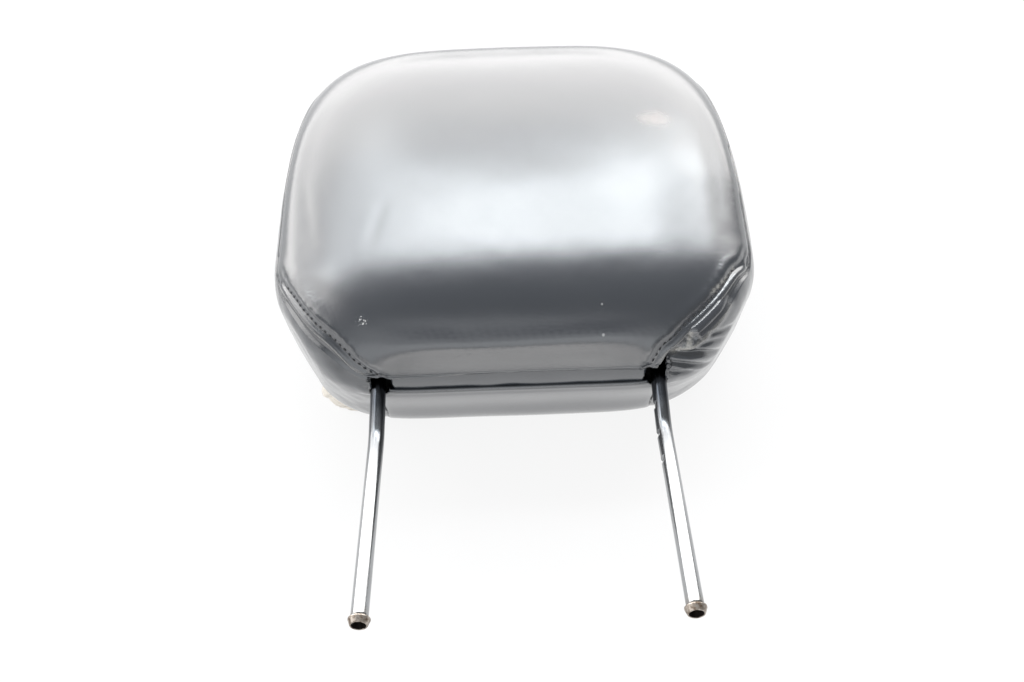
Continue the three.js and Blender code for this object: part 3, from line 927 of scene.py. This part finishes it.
for panel_name, node_name, side, front, rear, folds in (
    ("left_side_panel", "left_gusset", -1, left_front, left_back, left_folds),
    ("right_side_panel", "right_gusset", 1, right_front, right_back, right_folds),
):
    base, normals, lift, rows = side_panel(side, front, rear, folds)
    wear_and_highlight = np.zeros(len(base))
    if side > 0:
        torn, share = distance_to(base, laid_on_form(torn_edge, 1.5))
        wear_and_highlight += 0.8 * bell(torn, 1.3)
        lift += 0.5 * bell(torn, 2.0) * ripples(base, 2.6, 21)
        worn, _ = distance_to(base, laid_on_form(worn_fold, 1.5))
        wear_and_highlight += 0.45 * bell(worn, 0.9)
    panel = clothe(panel_name, slackened(base), normals, lift, rows, gusset_columns, wear_and_highlight)
    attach(panel, "root")
    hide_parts(node_name)


# The lining's edge: a tongue of pale suede lining that has worked out of the left side's back seam. It lies
# on the table, so that it peeps out below the side panel.
fringe_line = [
    (-91, -85, 15), (-99, -77, 9.5), (-106, -70, 8), (-112, -64, 8),
    (-119, -57, 9), (-126, -49, 11), (-133, -40, 13),
]
fringe_reach = 12
fringe_root = 3
fringe_height = 2.5
lining_thickness = 1.2


def lining_finish():
    material, tree, shader = new_material("lining", (0.62, 0.55, 0.47), 0, 0.95)
    fibres = noise(tree, object_place(tree), 1200, 4)
    colour = blend_colours(tree, fibres, (0.78, 0.72, 0.64), (0.90, 0.86, 0.79))
    tree.links.new(colour, shader.inputs["Base Color"])
    tree.links.new(bump(tree, fibres, 0.0004), shader.inputs["Normal"])
    shader.inputs["Sheen Weight"].default_value = 0.3
    return material


fringe_spine = laid_on_form(fringe_line, 1.0)
fringe_out = fringe_spine * (1, 1, 0)
fringe_out /= np.linalg.norm(fringe_out, axis=1)[:, None]
fringe_count = len(fringe_spine)
fringe_share = np.linspace(0, 1, fringe_count)
taper = (smooth_step(fringe_share, 0.05, 0.62) * smooth_step(1 - fringe_share, 0, 0.28))[:, None]
frayed = 1 + 0.06 * ripples(fringe_spine, 5, 41)[:, None]
fringe_inner = fringe_spine - fringe_out * 5
fringe_outer = fringe_spine + fringe_out * ((fringe_reach + fringe_root) * taper * frayed - fringe_root)
fringe_outer[:, 2:] = fringe_spine[:, 2:] * (1 - taper) + fringe_height * taper
fringe_middle = (fringe_inner + fringe_outer) / 2 - (0, 0, 1.5) * taper
fringe_points = np.concatenate([fringe_inner, fringe_middle, fringe_outer])
fringe = make_piece("lining_edge", fringe_points, grid_faces(3, fringe_count), lining_finish())
fringe_thickness = fringe.modifiers.new("thickness", "SOLIDIFY")
fringe_thickness.thickness = lining_thickness * MM
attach(fringe, "root")


# The top stitching: black thread in one row of short stitches along each of the two slanting laps. It holds
# the folded edge down and is sunk in the groove that it pulls into the leather.
stitch_length = 2.9
stitch_pitch = 4.2
thread_radius = 0.42


def thread_finish():
    material, tree, shader = new_material("thread", (0.03, 0.03, 0.032), 0, 0.7)
    inputs = {"Vector": object_place(tree), "Scale": 900.0, "Distortion": 1.0}
    twist = add_node(tree, "ShaderNodeTexWave", inputs).outputs["Fac"]
    tree.links.new(bump(tree, twist, 0.0001, 0.6), shader.inputs["Normal"])
    shader.inputs["Sheen Weight"].default_value = 0.2
    return material


def row_of_stitches(line, outward):
    """Short bars of thread end to end along a line, each bowed and dipping into the leather at its ends."""
    points, faces = [], []
    lengths = run_lengths(line)
    swell = np.array([0.35, 0.8, 1, 1, 1, 0.8, 0.35])
    rings, sides = len(swell), 8
    angles = np.linspace(0, 2 * math.pi, sides, endpoint=False)
    for start in np.arange(1, lengths[-1] - stitch_length, stitch_pitch):
        shares = (start + np.linspace(0, stitch_length, rings)) / lengths[-1]
        centres = at_shares(line, shares)
        rise = at_shares(outward, shares)
        rise /= np.linalg.norm(rise, axis=1)[:, None]
        heading = centres[-1] - centres[0]
        heading /= np.linalg.norm(heading)
        aside = np.cross(heading, rise)
        bow = (np.sin(np.linspace(0, math.pi, rings)) - 0.55) * thread_radius
        first = len(points)
        for centre, up, across, high, wide in zip(centres, rise, aside, bow, thread_radius * swell):
            for angle in angles:
                raised = up * (high + wide * math.sin(angle))
                points.append(centre + raised + across * wide * math.cos(angle))
        faces.extend((grid_faces(rings, sides, closed=True) + first).tolist())
    return np.array(points), np.array(faces)


stitch_points, stitch_faces, counted = [], [], 0
face_grid = (face_base + face_normals * face_heights[:, None]).reshape(face_rows, face_columns, 3)
normal_grid = face_normals.reshape(face_rows, face_columns, 3)
for inward, lap in ((1, lap_left), (-1, lap_right)):
    line, outward = [], []
    for row in np.flatnonzero(lower_rows)[4:-6:2]:
        across = face_grid[row, ::inward]
        edge_gap, _ = inside_of(across[:40], lap)
        column = np.argmin(np.abs(edge_gap - stitch_inset))
        line.append(across[column])
        outward.append(normal_grid[row, ::inward][column])
    points, faces = row_of_stitches(np.array(line), np.array(outward))
    stitch_points.append(points)
    stitch_faces.append(faces + counted)
    counted += len(points)
all_points, all_faces = np.concatenate(stitch_points), np.concatenate(stitch_faces)
lap_stitching = make_piece("lap_stitching", all_points, all_faces, thread_finish())
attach(lap_stitching, "root")


# The closure: a strip of leather with slanted ends fills the gap between the hem and the band. Behind it two
# hooked plastic strips hold the cover shut. They keep the shape of their solids, because they don't show.
flap_low, flap_high = 65, 95
flap_half_low = 75.5
flap_slant = 3
flap_depth = 0.1
flap_thickness = 1.4
flap_rows, flap_columns = 24, 140
flap_z = np.repeat(np.linspace(flap_low, flap_high, flap_rows), flap_columns)
flap_half = flap_half_low + flap_slant * (flap_z - flap_low) / (flap_high - flap_low)
flap_x = np.tile(np.linspace(-1, 1, flap_columns), flap_rows) * flap_half
flap_rough = np.stack([flap_x, np.full(len(flap_x), underside), flap_z], axis=1)
flap_base = on_cushion(direction_of(flap_rough), leather_thickness + flap_depth)
flap_base[:, 0] = flap_x
flap_normals = grid_normals(flap_base, flap_rows, flap_columns)
flap_lift = 0.3 * ripples(flap_base, 30, 31) - 0.3
closure_strip = clothe(
    "closure_strip", flap_base, flap_normals, flap_lift, flap_rows, flap_columns, thickness=flap_thickness,
)
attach(closure_strip, "root")
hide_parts("closure_flap")

strip_plastic, strip_tree, strip_shader = new_material("strip_plastic", (0.03, 0.03, 0.032), 0, 0.55)
strip_grain = noise(strip_tree, object_place(strip_tree, (20, 300, 300)), 1.0, 3)
strip_tree.links.new(remap(strip_tree, strip_grain, 0.3, 0.7, 0.45, 0.65), strip_shader.inputs["Roughness"])
for node_name in ("front_retainer", "rear_retainer"):
    strip_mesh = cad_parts[node_name].data
    strip_mesh.materials.clear()
    strip_mesh.materials.append(strip_plastic)


# The table it lies on: a wide white surface. Its glow for the camera washes out all but a breath of the
# shadow, and it glows as a painted reflection in what the leather and the chrome mirror.
table_half = 2.1
table_glow = 0.86
table_material, table_tree, table_shader = new_material("table_white", (0.9, 0.9, 0.9), 0, 0.7)
table_shader.inputs["Specular IOR Level"].default_value = 0.2
glow = add_node(table_tree, "ShaderNodeEmission", {"Color": (1, 1, 1, 1), "Strength": 1.0})
table_ray = add_node(table_tree, "ShaderNodeLightPath")
seen_or_mirrored = maths(
    table_tree, "MAXIMUM", table_ray.outputs["Is Camera Ray"], table_ray.outputs["Is Glossy Ray"],
)
washed = maths(table_tree, "MULTIPLY", seen_or_mirrored, table_glow)
table_mix = add_node(
    table_tree, "ShaderNodeMixShader", {0: washed, 1: table_shader.outputs[0], 2: glow.outputs[0]},
)
table_tree.links.new(table_mix.outputs[0], table_tree.nodes["Material Output"].inputs["Surface"])
table_mesh = bpy.data.meshes.new("table")
table_corners = [(x * table_half, y * table_half, 0) for x, y in ((-1, -1), (1, -1), (1, 1), (-1, 1))]
table_mesh.from_pydata(table_corners, [], [(0, 1, 2, 3)])
table_mesh.materials.append(table_material)
table = bpy.data.objects.new("table", table_mesh)
bpy.context.scene.collection.objects.link(table)


# The light: four softboxes in a row beyond the top end draw the bright band across the face, with two wide
# dim ones about them. Pale screens stand behind the cushion, on its left and in front, and the room is dim.
def add_lamp(name, place, target, width, height, strength, tilt=0.0, colour=(1, 1, 1)):
    """A rectangular lamp of even brightness that faces its target, turned by tilt degrees about its axis."""
    lamp = bpy.data.lights.new(name, "AREA")
    lamp.shape = "RECTANGLE"
    lamp.size, lamp.size_y, lamp.color = width, height, colour
    lamp.energy = strength * 4 * width * height
    holder = bpy.data.objects.new(name, lamp)
    bpy.context.scene.collection.objects.link(holder)
    away = Vector(place) - Vector(target)
    turn = away.to_track_quat("Z", "Y").to_matrix() @ Matrix.Rotation(math.radians(tilt), 3, "Z")
    holder.location = place
    holder.rotation_euler = turn.to_euler()


cushion_middle = (0, 0, 0.1)
cool, warm = (0.93, 0.97, 1.0), (1.0, 0.985, 0.97)
add_lamp("high_left", (-0.90, 1.05, 1.60), cushion_middle, 1.15, 0.60, 3.2, -6, cool)
add_lamp("high_right", (0.20, 1.20, 1.70), cushion_middle, 1.15, 0.52, 1.8, 12, cool)
add_lamp("key_left", (-0.42, 1.07, 1.79), cushion_middle, 0.50, 0.24, 6.2, -4, cool)
add_lamp("key_middle", (0.03, 1.09, 1.81), cushion_middle, 0.50, 0.24, 9.6, 3, cool)
add_lamp("key_right", (0.57, 1.16, 1.69), cushion_middle, 0.56, 0.26, 9.5, 33, cool)
add_lamp("key_far_right", (1.11, 1.21, 1.34), cushion_middle, 0.70, 0.36, 6.0, 50, cool)
add_lamp("screen", (-0.6, 2.2, 1.15), (-0.6, 0, 1.15), 7.6, 2.3, 2.75, 0, warm)
add_lamp("side_left", (-2.1, 0.5, 1.35), cushion_middle, 1.5, 1.9, 2.0, 0, warm)
add_lamp("side_low", (-2.0, -0.6, 0.45), (0, 0, 0.2), 2.4, 0.7, 0.9, 0, warm)
add_lamp("front_fill", (-0.2, -1.9, 1.5), cushion_middle, 2.6, 1.3, 0.85, 0, cool)
add_lamp("front_high", (-0.2, -1.03, 2.04), cushion_middle, 2.2, 0.8, 0.45, 0, cool)
add_lamp("front_low", (0, -2.3, 0.35), (0, 0, 0.3), 3.0, 0.7, 1.4, 0, warm)

world = bpy.data.worlds.new("room")
bpy.context.scene.world = world
world.use_nodes = True
room = world.node_tree
room.nodes.clear()
plain = add_node(room, "ShaderNodeBackground", {"Color": (1, 1, 1, 1), "Strength": 0.3})
seen = add_node(room, "ShaderNodeBackground", {"Color": (1, 1, 1, 1), "Strength": 1.0})
ray = add_node(room, "ShaderNodeLightPath")
shades = {0: ray.outputs["Is Camera Ray"], 1: plain.outputs[0], 2: seen.outputs[0]}
mixed = add_node(room, "ShaderNodeMixShader", shades)
add_node(room, "ShaderNodeOutputWorld", {"Surface": mixed.outputs[0]})


# The camera: above the table and beyond the posts' ends, looking down at 63 degrees and rolled a little. Its
# focal length is given in pixels of a picture 1024 wide.
looking_down = 63
picture_width = 1024
focal_length = 950
camera_data = bpy.data.cameras.new("camera")
camera_data.sensor_width = 36
camera_data.lens = focal_length / picture_width * camera_data.sensor_width
camera_data.clip_start = 0.01
camera = bpy.data.objects.new("camera", camera_data)
bpy.context.scene.collection.objects.link(camera)
camera.location = (-0.003, -0.328, 0.6027)
camera.rotation_mode = "XYZ"
camera_pitch = Matrix.Rotation(math.radians(90 - looking_down), 3, "X")
camera_roll = Matrix.Rotation(-math.radians(2.0), 3, "Z")
camera.rotation_euler = (camera_pitch @ camera_roll).to_euler()
bpy.context.scene.camera = camera
bpy.context.scene.view_settings.view_transform = "Standard"
